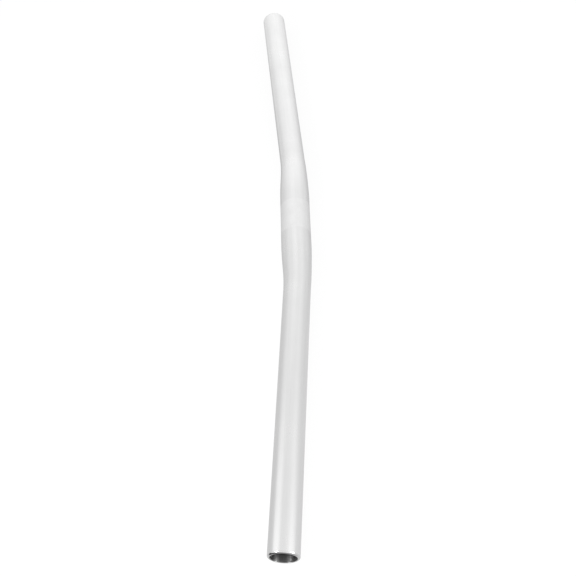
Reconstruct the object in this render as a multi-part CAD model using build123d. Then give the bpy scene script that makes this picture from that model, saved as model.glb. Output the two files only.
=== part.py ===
import os
from math import cos, radians, sin

from build123d import *

# Flat handlebar: one aluminium tube, thickest at the centre where the stem holds it, swaged down
# on both sides to the grip diameter and bent back a little on each side. Millimetres.
# The origin is the middle of the clamp stretch. +X runs along the bar, the sides sweep to -Y, +Z is up.

# Outside sizes
bar_width = 580.0  # over the corners of the two cut ends
clamp_diameter = 25.4
grip_diameter = 22.2
clamp_length = 54.0  # straight stretch at the full diameter
taper_length = 49.0  # swaged stretch on each side, along the tube

# Bends, on the middle line of the tube
back_sweep = 4.0  # degrees on each side
bend_radius = 240.0
bend_start = 54.0  # from the middle of the bar

# Wall of the tube, a little thicker where the stem clamps it
clamp_wall = 2.4
grip_wall = 1.9

# Cut ends
end_round = 1.4  # outer edge, turned round
bore_chamfer = 0.3  # inner edge, deburred

# Spacing of the round sections that shape the swaged stretch and the bend
section_spacing = 4.0

# How far the bore's rod runs out of each cut end, so that it cuts clean through
bore_overrun = 1.0


def bent_middle_line():
    """Middle line of the right side, from the centre of the bar to the cut end."""
    clamp_run = Line((0, 0), (bend_start, 0))
    bend = JernArc(clamp_run @ 1, clamp_run % 1, bend_radius, -back_sweep)
    # The rounded outer corner of the cut end, not its middle, stands at half the bar's width.
    sweep = radians(back_sweep)
    corner_reach = (grip_diameter / 2 - end_round) * sin(sweep) + end_round * (1 - cos(sweep))
    grip_run_length = (bar_width / 2 - corner_reach - (bend @ 1).X) / cos(sweep)
    grip_run = Line(bend @ 1, bend @ 1 + (bend % 1) * grip_run_length)
    return Wire([clamp_run, bend, grip_run]), bend_start + bend.length


middle_line, bend_end = bent_middle_line()
taper_start = clamp_length / 2
taper_end = taper_start + taper_length
shaped_start = min(taper_start, bend_start)
shaped_end = max(taper_end, bend_end)


def square_to_line(distance):
    """Plane across the tube at a distance from the centre of the bar."""
    origin = middle_line.position_at(distance, position_mode=PositionMode.LENGTH)
    along = middle_line.tangent_at(distance, position_mode=PositionMode.LENGTH)
    return Plane(origin=origin, x_dir=(0, 0, 1), z_dir=along)


def swaged_radius(distance, clamp_radius, grip_radius):
    """Smooth step from the clamp radius down to the grip radius."""
    share = min(max((distance - taper_start) / taper_length, 0), 1)
    return clamp_radius + (grip_radius - clamp_radius) * share**2 * (3 - 2 * share)


def swaged_rod(clamp_radius, grip_radius, overrun=0):
    """The whole bar as a full rod, past each cut end by the overrun."""
    section_count = round((shaped_end - shaped_start) / section_spacing)
    step = (shaped_end - shaped_start) / section_count
    stations = [shaped_start + step * index for index in range(section_count + 1)]
    shaped = loft(
        [square_to_line(at) * Circle(swaged_radius(at, clamp_radius, grip_radius)) for at in stations]
    )
    grip_length = middle_line.length - shaped_end + overrun
    grip = extrude(square_to_line(shaped_end) * Circle(grip_radius), grip_length)
    side = shaped + grip
    clamp = extrude(square_to_line(0) * Circle(clamp_radius), shaped_start, both=True)
    return clamp + side + mirror(side, about=Plane.YZ)


def finish_cut_end(tube, toward):
    """Round the outer edge and chamfer the bore's edge of the end that faces toward +X or -X."""
    cut_face = tube.faces().filter_by(GeomType.PLANE).sort_by(Axis.X)[toward]
    tube = fillet(cut_face.outer_wire().edges(), end_round)
    cut_face = tube.faces().filter_by(GeomType.PLANE).sort_by(Axis.X)[toward]
    return chamfer(cut_face.inner_wires()[0].edges(), bore_chamfer)


outside = swaged_rod(clamp_diameter / 2, grip_diameter / 2)
bore = swaged_rod(clamp_diameter / 2 - clamp_wall, grip_diameter / 2 - grip_wall, bore_overrun)
handlebar = outside - bore
right_end, left_end = -1, 0
for end in (right_end, left_end):
    handlebar = finish_cut_end(handlebar, end)

os.makedirs("parts", exist_ok=True)
export_step(handlebar, "parts/handlebar.step")
print(f"middle line {2 * middle_line.length:.1f} mm, bends end {bend_end:.1f} mm from the centre")
print(f"solids {len(handlebar.solids())}, volume {handlebar.volume:.0f} mm3, size {handlebar.bounding_box().size}")
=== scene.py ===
from math import cos, pi, radians, sin

import bpy
from mathutils import Matrix, Vector


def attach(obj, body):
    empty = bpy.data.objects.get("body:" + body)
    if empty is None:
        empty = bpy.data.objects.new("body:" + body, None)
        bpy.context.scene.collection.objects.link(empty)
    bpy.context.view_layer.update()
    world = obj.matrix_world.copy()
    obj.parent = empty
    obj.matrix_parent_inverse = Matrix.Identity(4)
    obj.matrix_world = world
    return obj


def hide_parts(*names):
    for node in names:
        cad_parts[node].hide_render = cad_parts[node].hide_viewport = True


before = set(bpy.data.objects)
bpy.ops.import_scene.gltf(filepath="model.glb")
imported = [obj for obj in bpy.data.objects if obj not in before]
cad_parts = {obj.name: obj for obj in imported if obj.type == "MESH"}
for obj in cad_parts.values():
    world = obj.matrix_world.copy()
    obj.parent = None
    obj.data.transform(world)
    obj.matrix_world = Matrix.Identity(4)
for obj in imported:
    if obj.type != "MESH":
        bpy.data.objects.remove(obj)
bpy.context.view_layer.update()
print("stage: frame loaded")

mm = 0.001
mixColourA, mixColourB, mixColourOut = 6, 7, 2  # places of the Mix node's sockets for colours


def linearColour(hexColour):
    channels = [int(hexColour[i:i + 2], 16) / 255 for i in (1, 3, 5)]
    return [c / 12.92 if c <= 0.04045 else ((c + 0.055) / 1.055) ** 2.4 for c in channels] + [1.0]


def addNode(tree, kind, inputs=None, **settings):
    # an input takes a number, a colour, a socket, or a node, of which it follows the first output
    node = tree.nodes.new(kind)
    for name, value in settings.items():
        setattr(node, name, value)
    for name, value in (inputs or {}).items():
        if isinstance(value, bpy.types.Node):
            value = value.outputs[0]
        if isinstance(value, bpy.types.NodeSocket):
            tree.links.new(value, node.inputs[name])
        else:
            node.inputs[name].default_value = value
    return node


def newMaterial(name):
    material = bpy.data.materials.new(name)
    material.use_nodes = True
    material.node_tree.nodes.clear()
    return material, material.node_tree


view = {
    "azimuth": radians(14.65),  # from +X towards +Y
    "elevation": radians(51.47),
    "roll": radians(20.0),
    "distance": 714.1,  # mm
    "slide": (-6.49, 56.89),  # mm off the middle of the bar, to the image's right and down
    "lens": 52.0,
    "sensor": 36.0,
    "clip": (0.01, 50.0),  # metres
}


def placeCamera():
    azimuth, elevation, roll = view["azimuth"], view["elevation"], view["roll"]
    ahead = -Vector((cos(azimuth) * cos(elevation), sin(azimuth) * cos(elevation), sin(elevation)))
    level = Vector((-sin(azimuth), cos(azimuth), 0))
    below = ahead.cross(level)
    right = cos(roll) * level + sin(roll) * below
    down = cos(roll) * below - sin(roll) * level
    place = -ahead * view["distance"] + right * view["slide"][0] + down * view["slide"][1]
    camera = bpy.data.objects.new("camera", bpy.data.cameras.new("camera"))
    bpy.context.scene.collection.objects.link(camera)
    facing = Matrix((right, -down, -ahead)).transposed().to_4x4()
    camera.matrix_world = Matrix.Translation(place * mm) @ facing
    camera.data.lens = view["lens"]
    camera.data.sensor_width = view["sensor"]
    camera.data.clip_start, camera.data.clip_end = view["clip"]
    bpy.context.scene.camera = camera


placeCamera()
print("stage: camera placed")

# The tube, as the part was drawn, in mm from the middle of the stretch that the stem holds. It is
# built again here with finer facets and one smooth surface right round, so that its long highlights
# run clean.
tube = {
    "width": 580.0,  # over the corners of the two ends
    "clampRadius": 12.7,
    "gripRadius": 11.1,
    "clampWall": 2.4,
    "gripWall": 1.9,
    "swageStart": 27.0,
    "swageLength": 49.0,
    "bendStart": 54.0,
    "bendRadius": 240.0,
    "sweep": radians(4.0),
    "endRound": 1.4,
    "deburr": 0.3,  # inner edge of each end
    "bandHalf": 16.0,  # the blasted stretch, each way from the middle
    "segments": 160,  # round the tube
    "gripStep": 9.0,  # between rings
    "swageStep": 1.5,
    "clampStep": 4.0,
    "edgeStep": 0.2,  # one ring so close to each rounded edge keeps the run before it evenly shaded
    "roundSteps": 10,
}
satinPart, blastedPart, facedPart, boredPart = range(4)  # one number for each finish


def halfLength():
    # along the middle line, so that the rounded corner of each end stands at half the width
    sweep, bend, lip = tube["sweep"], tube["bendRadius"], tube["endRound"]
    cornerReach = (tube["gripRadius"] - lip) * sin(sweep) + lip * (1 - cos(sweep))
    straight = (tube["width"] / 2 - cornerReach - tube["bendStart"] - bend * sin(sweep)) / cos(sweep)
    return tube["bendStart"] + bend * sweep + straight


def middleLine(away):
    # a place on the bent middle line and the direction there; away is measured along the line from
    # the middle of the bar, below 0 towards the far end
    side, run = (-1 if away < 0 else 1), abs(away)
    turn = min(max((run - tube["bendStart"]) / tube["bendRadius"], 0), tube["sweep"])
    past = max(run - tube["bendStart"] - tube["bendRadius"] * tube["sweep"], 0)
    x = min(run, tube["bendStart"]) + tube["bendRadius"] * sin(turn) + past * cos(turn)
    y = -tube["bendRadius"] * (1 - cos(turn)) - past * sin(turn)
    return Vector((side * x, y, 0)), Vector((cos(turn), -side * sin(turn), 0))


def swaged(away, atClamp, atGrip):
    # a smooth step from the radius at the clamp to the radius at the grip
    share = min(max((abs(away) - tube["swageStart"]) / tube["swageLength"], 0), 1)
    return atClamp + (atGrip - atClamp) * share * share * (3 - 2 * share)


def ringPlaces(reach):
    # where the rings stand from -reach to reach: close together where the tube narrows and bends
    band, swage = tube["bandHalf"], tube["swageStart"]
    grip, edge = swage + tube["swageLength"], reach - tube["edgeStep"]
    stretches = [(0, band, tube["clampStep"]), (band, swage, tube["clampStep"]),
                 (swage, grip, tube["swageStep"]), (grip, edge, tube["gripStep"])]
    places = []
    for start, end, step in stretches:
        count = round((end - start) / step)
        places += [start + (end - start) * i / count for i in range(1, count + 1)]
    places.append(reach)
    return [-place for place in reversed(places)] + [0] + places


def tubeOutline():
    # every ring of the tube, as its place, its radius and the finish of the strip after it: along the
    # outside, round the near lip, back through the bore, round the far lip
    half, outer, lip, burr = halfLength(), tube["gripRadius"], tube["endRound"], tube["deburr"]
    boreClamp, boreGrip = tube["clampRadius"] - tube["clampWall"], outer - tube["gripWall"]
    outside, places = [], ringPlaces(half - lip)
    for away, nextAway in zip(places, places[1:]):
        inBand = abs(away + nextAway) / 2 < tube["bandHalf"]
        radius = swaged(away, tube["clampRadius"], outer)
        outside.append((away, radius, blastedPart if inBand else satinPart))
    mouth = []
    quarter = [pi / 2 * i / tube["roundSteps"] for i in range(tube["roundSteps"] + 1)]
    for turn in quarter:
        mouth.append((half - lip + lip * sin(turn), outer - lip * (1 - cos(turn)), facedPart))
    for turn in quarter[::2]:  # the inner edge is smaller and needs half as many
        mouth.append((half - burr * (1 - cos(turn)), boreGrip + burr * (1 - sin(turn)), boredPart))
    inside = []
    for away in reversed(ringPlaces(half - burr)):
        inside.append((away, swaged(away, boreClamp, boreGrip), boredPart))
    # the far lip runs the other way round, so there each strip's finish stands at its other ring
    farMouth = []
    for (away, radius, _), (_, _, part) in zip(mouth[::-1], mouth[-2::-1]):
        farMouth.append((-away, radius, part))
    return outside + mouth[:-1] + inside[:-1] + farMouth


def buildTube():
    outline, segments = tubeOutline(), tube["segments"]
    points, tubePlaces, fromLine = [], [], []
    for away, radius, part in outline:
        centre, along = middleLine(away)
        sideways, up = Vector((-along.y, along.x, 0)), Vector((0, 0, 1))
        for k in range(segments):
            out = (cos(2 * pi * k / segments), sin(2 * pi * k / segments))
            points.append((centre + (sideways * out[0] + up * out[1]) * radius) * mm)
            tubePlaces.append((away, out[0] * tube["gripRadius"], out[1] * tube["gripRadius"]))
            fromLine.append(radius)
    faces = []
    for i in range(len(outline)):
        ring, nextRing = i * segments, (i + 1) % len(outline) * segments
        for k in range(segments):
            turned = (k + 1) % segments
            faces.append((ring + k, ring + turned, nextRing + turned, nextRing + k))
    mesh = bpy.data.meshes.new("swagedTube")
    mesh.from_pydata(points, [], faces)
    # what the finishes follow, in mm: the place on the tube as if it were straight and evenly thick,
    # and the distance from its middle line
    tubePlace = mesh.attributes.new("tubePlace", "FLOAT_VECTOR", "POINT")
    tubePlace.data.foreach_set("vector", [number for place in tubePlaces for number in place])
    mesh.attributes.new("fromLine", "FLOAT", "POINT").data.foreach_set("value", fromLine)
    parts = [part for away, radius, part in outline for k in range(segments)]
    mesh.polygons.foreach_set("material_index", parts)
    mesh.shade_smooth()
    mesh.validate()
    piece = bpy.data.objects.new("swagedTube", mesh)
    bpy.context.scene.collection.objects.link(piece)
    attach(piece, "root")
    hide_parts("handlebar")
    return piece


handlebar = buildTube()
print("stage: tube built,", len(handlebar.data.polygons), "faces")

markSpan = (0.3, 0.7)  # a noise runs from 0 to 1, but hardly ever past these


def dressMetal(tree, finish, marks, normal, more=None):
    # metal that goes with its marks from darker and rougher to lighter and smoother
    weak, strong = markSpan
    shade = addNode(tree, "ShaderNodeMapRange", {
        "Value": marks, "From Min": weak, "From Max": strong})
    colour = addNode(tree, "ShaderNodeMix", {
        "Factor": shade, mixColourA: linearColour(finish["darker"]),
        mixColourB: linearColour(finish["lighter"])}, data_type="RGBA")
    roughness = addNode(tree, "ShaderNodeMapRange", {
        "Value": marks, "From Min": weak, "From Max": strong,
        "To Min": finish["rougher"], "To Max": finish["smoother"]})
    metal = addNode(tree, "ShaderNodeBsdfPrincipled", {
        "Base Color": colour.outputs[mixColourOut], "Metallic": 1.0, "Roughness": roughness,
        "Normal": normal, **(more or {})})
    addNode(tree, "ShaderNodeOutputMaterial", {"Surface": metal})


def lengthwiseLines(tree, place, finish):
    # a noise drawn out along the tube
    across = 1 / finish["lineWidth"]
    linePlace = addNode(tree, "ShaderNodeVectorMath", {
        0: place, 1: (1 / finish["lineLength"], across, across)}, operation="MULTIPLY")
    return addNode(tree, "ShaderNodeTexNoise", {
        "Vector": linePlace, "Scale": 1.0, "Detail": 3.0, "Roughness": 0.7})


def turnedRings(tree, distance, finish):
    # a noise that changes only with the distance
    ringPlace = addNode(tree, "ShaderNodeMath", {
        0: distance, 1: 1 / finish["ringSpacing"]}, operation="MULTIPLY")
    return addNode(tree, "ShaderNodeTexNoise", {
        "W": ringPlace, "Scale": 1.0, "Detail": 1.0}, noise_dimensions="1D")


# Aluminium 6061 tube, drawn over a mandrel, brushed to satin along its length and clear anodised. To
# the eye it is a pale neutral grey with long soft highlights that run with the tube, and faint
# lengthwise lines.
satin = {
    "darker": "#e2e2e2",
    "lighter": "#eaeaea",
    "smoother": 0.26,
    "rougher": 0.33,
    "lineWidth": 0.7,  # mm; real brushing lines are about 0.05 wide and would not show
    "lineLength": 60.0,
    "lineDepth": 0.014,
    "cloudShare": 0.5,  # of the unevenness; the lines make the rest
    "cloudSize": 24.0,  # mm; patches where the bath has etched a little more
    "waveSize": 38.0,  # mm; a drawn tube is never quite true, so its highlights waver a little
    "waveDepth": 0.25,
}


def makeSatin():
    material, tree = newMaterial("satinAnodisedAluminium")
    place = addNode(tree, "ShaderNodeAttribute", attribute_name="tubePlace").outputs["Vector"]
    lines = lengthwiseLines(tree, place, satin)
    clouds = addNode(tree, "ShaderNodeTexNoise", {
        "Vector": place, "Scale": 1 / satin["cloudSize"], "Detail": 3.0})
    waves = addNode(tree, "ShaderNodeTexNoise", {
        "Vector": place, "Scale": 1 / satin["waveSize"], "Detail": 1.0})
    marks = addNode(tree, "ShaderNodeMix", {"Factor": satin["cloudShare"], "A": lines, "B": clouds})
    wavy = addNode(tree, "ShaderNodeBump", {"Height": waves, "Distance": satin["waveDepth"] * mm})
    lined = addNode(tree, "ShaderNodeBump", {
        "Height": lines, "Distance": satin["lineDepth"] * mm, "Normal": wavy})
    dressMetal(tree, satin, marks, lined)
    return material


# The stretch that the stem holds was blasted with fine grit before the bath, with the rest masked:
# flat, even, a touch whiter, without lines or streaks.
blasted = {
    "darker": "#e3e3e3",
    "lighter": "#efefef",
    "smoother": 0.42,
    "rougher": 0.52,
    "gritSize": 0.4,  # mm; the real pits are about 0.12
    "gritDepth": 0.05,
    "cloudShare": 0.35,  # of the unevenness; the grit makes the rest
    "cloudSize": 9.0,  # mm; passes of the nozzle
}


def makeBlasted():
    material, tree = newMaterial("gritBlastedAluminium")
    place = addNode(tree, "ShaderNodeAttribute", attribute_name="tubePlace").outputs["Vector"]
    grit = addNode(tree, "ShaderNodeTexNoise", {
        "Vector": place, "Scale": 1 / blasted["gritSize"], "Detail": 2.0})
    clouds = addNode(tree, "ShaderNodeTexNoise", {
        "Vector": place, "Scale": 1 / blasted["cloudSize"], "Detail": 2.0})
    marks = addNode(tree, "ShaderNodeMix", {"Factor": blasted["cloudShare"], "A": grit, "B": clouds})
    pitted = addNode(tree, "ShaderNodeBump", {
        "Height": grit, "Distance": blasted["gritDepth"] * mm})
    dressMetal(tree, blasted, marks, pitted)
    return material


# Each end was faced on the lathe and its edge rounded: bright, with fine rings about the bore.
faced = {
    "darker": "#dcdcdc",
    "lighter": "#e8e8e8",
    "smoother": 0.12,
    "rougher": 0.20,
    "ringSpacing": 0.22,  # mm; the lathe's feed was nearer 0.1
    "ringDepth": 0.004,
}


def makeFaced():
    material, tree = newMaterial("latheFacedAluminium")
    fromLine = addNode(tree, "ShaderNodeAttribute", attribute_name="fromLine").outputs["Fac"]
    rings = turnedRings(tree, fromLine, faced)
    turned = addNode(tree, "ShaderNodeBump", {
        "Height": rings, "Distance": faced["ringDepth"] * mm})
    dressMetal(tree, faced, rings, turned)
    return material


# Inside, the tube is as the mandrel left it: dull, with scratches along it. Its grey is darker than
# the outside's: partly the dull drawn metal, partly painted shade inside the bore. The first stretch
# from each end was reamed, which leaves rings round the bore.
bored = {
    "darker": "#9c9c9c",
    "lighter": "#b8b8b8",
    "smoother": 0.30,
    "rougher": 0.36,
    "lengthwiseShine": 0.5,  # the marks round the wall draw every highlight out along the bore
    "lineWidth": 1.0,  # mm; real scratches are far finer
    "lineLength": 30.0,
    "lineDepth": 0.02,
    "reamed": 4.5,  # mm in from each end
    "reamFade": 0.5,  # mm
    "ringSpacing": 0.3,  # mm; real reaming marks are about 0.2 apart
    "ringDepth": 0.05,
}


def makeBored():
    material, tree = newMaterial("reamedAluminiumBore")
    place = addNode(tree, "ShaderNodeAttribute", attribute_name="tubePlace").outputs["Vector"]
    away = addNode(tree, "ShaderNodeSeparateXYZ", {"Vector": place}).outputs["X"]
    lines, rings = lengthwiseLines(tree, place, bored), turnedRings(tree, away, bored)
    fromMiddle = addNode(tree, "ShaderNodeMath", {0: away}, operation="ABSOLUTE")
    reamStart = halfLength() - bored["reamed"]
    inReamed = addNode(tree, "ShaderNodeMapRange", {
        "Value": fromMiddle, "From Min": reamStart - bored["reamFade"], "From Max": reamStart})
    marks = addNode(tree, "ShaderNodeMix", {"Factor": inReamed, "A": lines, "B": rings})
    depth = addNode(tree, "ShaderNodeMix", {
        "Factor": inReamed, "A": bored["lineDepth"] * mm, "B": bored["ringDepth"] * mm})
    marked = addNode(tree, "ShaderNodeBump", {"Height": marks, "Distance": depth})
    roundWall = addNode(tree, "ShaderNodeTangent", direction_type="RADIAL", axis="X")
    quarterTurn = 0.25  # from round the wall to along it
    dressMetal(tree, bored, marks, marked, {
        "Tangent": roundWall, "Anisotropic": bored["lengthwiseShine"],
        "Anisotropic Rotation": quarterTurn})
    return material


for makeFinish in (makeSatin, makeBlasted, makeFaced, makeBored):  # in the order of their numbers
    handlebar.data.materials.append(makeFinish())
print("stage: tube finished")

# The floor, in metres from the middle of the bar: X towards the camera, Y to the right. A pair of
# places is where a change starts and where it is full. Levels are shares of plain white.
paper = {
    "colour": "#ffffff",
    "size": 12.0,
    "whiteSeen": 0.88,  # as the camera sees it; the rest keeps the shadow
    "whiteInMetal": 0.71,  # how bright the same floor shows in the metal
    "paintedLightRight": 0.07,  # painted light: the floor glows more in the metal on the right of the bar
    "rightPlaces": (-0.02, 0.02),
    "paintedLightBack": 0.25,  # painted light: the floor glows more in the metal towards the far end
    "backPlaces": (0.1, -0.45),
    "shade": 0.27,  # painted shadow: the floor glows less in the metal close beside the far half of the bar
    "paintedShadeReach": (0.015, 0.055),  # off the bar's line: where the painted shadow thins out and where it ends
    "paintedShadePlaces": (0.12, -0.08),
    "paintedDarkFrom": (0.297, 0.307),  # painted shade: from there the metal shows a darker patch painted into the floor's glow, which the near lip mirrors as a dark crescent
    "paintedDarkInMetal": (0.0, 0.75),  # on the left, on the right
    "paintedDarkPlaces": (-0.034, 0.022),
}


def makeFloor():
    under = (0, 0, -tube["clampRadius"] * mm)
    bpy.ops.mesh.primitive_plane_add(size=paper["size"], location=under)
    floor = bpy.context.object
    floor.name = "floor"
    material, tree = newMaterial("paleFloor")
    rays = addNode(tree, "ShaderNodeLightPath").outputs
    place = addNode(tree, "ShaderNodeTexCoord").outputs["Object"]
    axes = addNode(tree, "ShaderNodeSeparateXYZ", {"Vector": place}).outputs
    # painted light and shade: the floor's glow as the metal sees it changes with place
    sides = addNode(tree, "ShaderNodeMapRange", {
        "Value": axes["Y"], "From Min": paper["rightPlaces"][0], "From Max": paper["rightPlaces"][1],
        "To Min": paper["whiteInMetal"], "To Max": paper["whiteInMetal"] + paper["paintedLightRight"],
    }, interpolation_type="SMOOTHSTEP")
    # painted light: the glow rises towards the far end
    toBack = addNode(tree, "ShaderNodeMapRange", {
        "Value": axes["X"], "From Min": paper["backPlaces"][0], "From Max": paper["backPlaces"][1],
        "To Max": paper["paintedLightBack"]}, interpolation_type="SMOOTHSTEP")
    sheet = addNode(tree, "ShaderNodeMath", {0: sides, 1: toBack}, operation="ADD")
    # painted shadow: the paper's glow close beside the bar is lowered as if it lay in the bar's
    # shade, and the bar's far rims mirror that
    offLine = addNode(tree, "ShaderNodeMath", {
        0: axes["X"], 1: -sin(tube["sweep"]), 2: axes["Y"]}, operation="MULTIPLY_ADD")
    fromBar = addNode(tree, "ShaderNodeMath", {0: offLine}, operation="ABSOLUTE")
    shade = addNode(tree, "ShaderNodeMapRange", {
        "Value": fromBar, "From Min": paper["paintedShadeReach"][0], "From Max": paper["paintedShadeReach"][1],
        "To Min": -paper["shade"], "To Max": 0.0})
    farHalf = addNode(tree, "ShaderNodeMapRange", {
        "Value": axes["X"], "From Min": paper["paintedShadePlaces"][0],
        "From Max": paper["paintedShadePlaces"][1]}, interpolation_type="SMOOTHSTEP")
    sheet = addNode(tree, "ShaderNodeMath", {
        0: shade, 1: farHalf, 2: sheet}, operation="MULTIPLY_ADD")
    # painted shade: past that line the floor's glow in the metal drops to a darker patch, darkest on
    # the left
    paintedDark = addNode(tree, "ShaderNodeMapRange", {
        "Value": axes["Y"], "From Min": paper["paintedDarkPlaces"][0], "From Max": paper["paintedDarkPlaces"][1],
        "To Min": paper["paintedDarkInMetal"][0], "To Max": paper["paintedDarkInMetal"][1]})
    pastPaintedDark = addNode(tree, "ShaderNodeMapRange", {
        "Value": axes["X"], "From Min": paper["paintedDarkFrom"][0], "From Max": paper["paintedDarkFrom"][1]})
    inMetal = addNode(tree, "ShaderNodeMix", {"Factor": pastPaintedDark, "A": sheet, "B": paintedDark})
    level = addNode(tree, "ShaderNodeMix", {
        "Factor": rays["Is Glossy Ray"], "A": 1.0, "B": inMetal})
    white = linearColour(paper["colour"])
    lit = addNode(tree, "ShaderNodeBsdfDiffuse", {"Color": white})
    shown = addNode(tree, "ShaderNodeEmission", {"Color": white, "Strength": level})
    seen = addNode(tree, "ShaderNodeMath", {
        0: rays["Is Camera Ray"], 1: rays["Is Transmission Ray"]}, operation="MAXIMUM")
    share = addNode(tree, "ShaderNodeMath", {
        0: seen, 1: paper["whiteSeen"], 2: rays["Is Glossy Ray"]}, operation="MULTIPLY_ADD")
    both = addNode(tree, "ShaderNodeMixShader", {"Fac": share, 1: lit, 2: shown})
    addNode(tree, "ShaderNodeOutputMaterial", {"Surface": both})
    material.cycles.emission_sampling = "NONE"  # it is no lamp, it only shows
    floor.data.materials.append(material)


# The sky as all but the camera sees it, by direction: X towards the camera, Y to the right, Z up. A
# pair of shares of such an axis is where a change starts and where it is full.
sky = {
    "colour": "#ffffff",
    "evenly": 0.69,  # 1 is as bright as white paper
    "lowFront": (0.75, 1.0),  # instead of that, low behind the camera: on the left, on the right
    "lowFrontSides": (-0.5, 0.1),  # of Y
    "frontFrom": (0.1, 0.5),  # of X
    "lowFrom": (0.7, 0.4),  # of Z
    "glows": {  # more from these sides
        "above": {"axis": "Z", "from": (0.0, 0.6), "level": 0.21},
        "backdrop": {"axis": "X", "from": (-0.6, -0.85), "level": 0.32},
        "rightSide": {"axis": "Y", "from": (0.0, 0.8), "level": 0.09},
    },
}


def makeSky():
    world = bpy.data.worlds.new("studio")
    bpy.context.scene.world = world
    world.use_nodes = True
    tree = world.node_tree
    tree.nodes.clear()
    rays = addNode(tree, "ShaderNodeLightPath").outputs
    direction = addNode(tree, "ShaderNodeTexCoord").outputs["Generated"]
    axes = addNode(tree, "ShaderNodeSeparateXYZ", {"Vector": direction}).outputs
    front = addNode(tree, "ShaderNodeMapRange", {
        "Value": axes["X"], "From Min": sky["frontFrom"][0],
        "From Max": sky["frontFrom"][1]}, interpolation_type="SMOOTHSTEP")
    low = addNode(tree, "ShaderNodeMapRange", {
        "Value": axes["Z"], "From Min": sky["lowFrom"][0],
        "From Max": sky["lowFrom"][1]}, interpolation_type="SMOOTHSTEP")
    lowFront = addNode(tree, "ShaderNodeMath", {0: front, 1: low}, operation="MULTIPLY")
    frontLevel = addNode(tree, "ShaderNodeMapRange", {
        "Value": axes["Y"], "From Min": sky["lowFrontSides"][0],
        "From Max": sky["lowFrontSides"][1], "To Min": sky["lowFront"][0],
        "To Max": sky["lowFront"][1]}, interpolation_type="SMOOTHSTEP")
    level = addNode(tree, "ShaderNodeMix", {
        "Factor": lowFront, "A": sky["evenly"], "B": frontLevel})
    for glow in sky["glows"].values():
        more = addNode(tree, "ShaderNodeMapRange", {
            "Value": axes[glow["axis"]], "From Min": glow["from"][0], "From Max": glow["from"][1],
            "To Max": glow["level"]}, interpolation_type="SMOOTHSTEP")
        level = addNode(tree, "ShaderNodeMath", {0: more, 1: level}, operation="ADD")
    seen = addNode(tree, "ShaderNodeMath", {
        0: rays["Is Camera Ray"], 1: rays["Is Transmission Ray"]}, operation="MAXIMUM")
    level = addNode(tree, "ShaderNodeMix", {"Factor": seen, "A": level, "B": 1.0})
    white = linearColour(sky["colour"])
    back = addNode(tree, "ShaderNodeBackground", {"Color": white, "Strength": level})
    addNode(tree, "ShaderNodeOutputWorld", {"Surface": back})


# Two broad soft boxes for the long highlights, two small bright lamps for the near lip and the bore,
# and a weak one above and past the far end. aim: metres along the bar. round: degrees from straight
# up towards +Y. lean: degrees from the far end's direction. away, length and width: metres. level:
# watts per square metre of the lamp, over pi.
lamps = {
    "leftBox": {"aim": 0.12, "round": -45, "lean": 76, "away": 1.4,
                "length": 0.5, "width": 1.16, "level": 0.27},
    "leftSpot": {"aim": 0.27, "round": -40, "lean": 107, "away": 0.6,
                 "length": 0.21, "width": 0.16, "level": 15},
    "rightBox": {"aim": 0.12, "round": 66, "lean": 88, "away": 1.4,
                 "length": 0.5, "width": 1.31, "level": 0.22},
    "rightSpot": {"aim": 0.27, "round": 74, "lean": 109, "away": 0.6,
                  "length": 0.19, "width": 0.24, "level": 12},
    "farBox": {"aim": -0.6, "round": 0, "lean": 90, "away": 0.8,
               "length": 0.5, "width": 0.5, "level": 0.14},
}


def makeLamps():
    for name, lamp in lamps.items():
        turn, lean = radians(lamp["round"]), radians(lamp["lean"])
        toLamp = Vector((-cos(lean), sin(lean) * sin(turn), sin(lean) * cos(turn)))
        lengthwise = (Vector((1, 0, 0)) - toLamp * toLamp.x).normalized()
        light = bpy.data.lights.new(name, "AREA")
        light.shape = "RECTANGLE"
        light.size, light.size_y = lamp["length"], lamp["width"]
        light.energy = lamp["level"] * pi * light.size * light.size_y
        item = bpy.data.objects.new(name, light)
        bpy.context.scene.collection.objects.link(item)
        facing = Matrix((lengthwise, toLamp.cross(lengthwise), toLamp)).transposed().to_4x4()
        place = Vector((lamp["aim"], 0, 0)) + toLamp * lamp["away"]
        item.matrix_world = Matrix.Translation(place) @ facing
        item.visible_camera = False


makeFloor()
makeSky()
makeLamps()
bpy.context.scene.view_settings.view_transform = "Standard"
print("stage: studio lit")
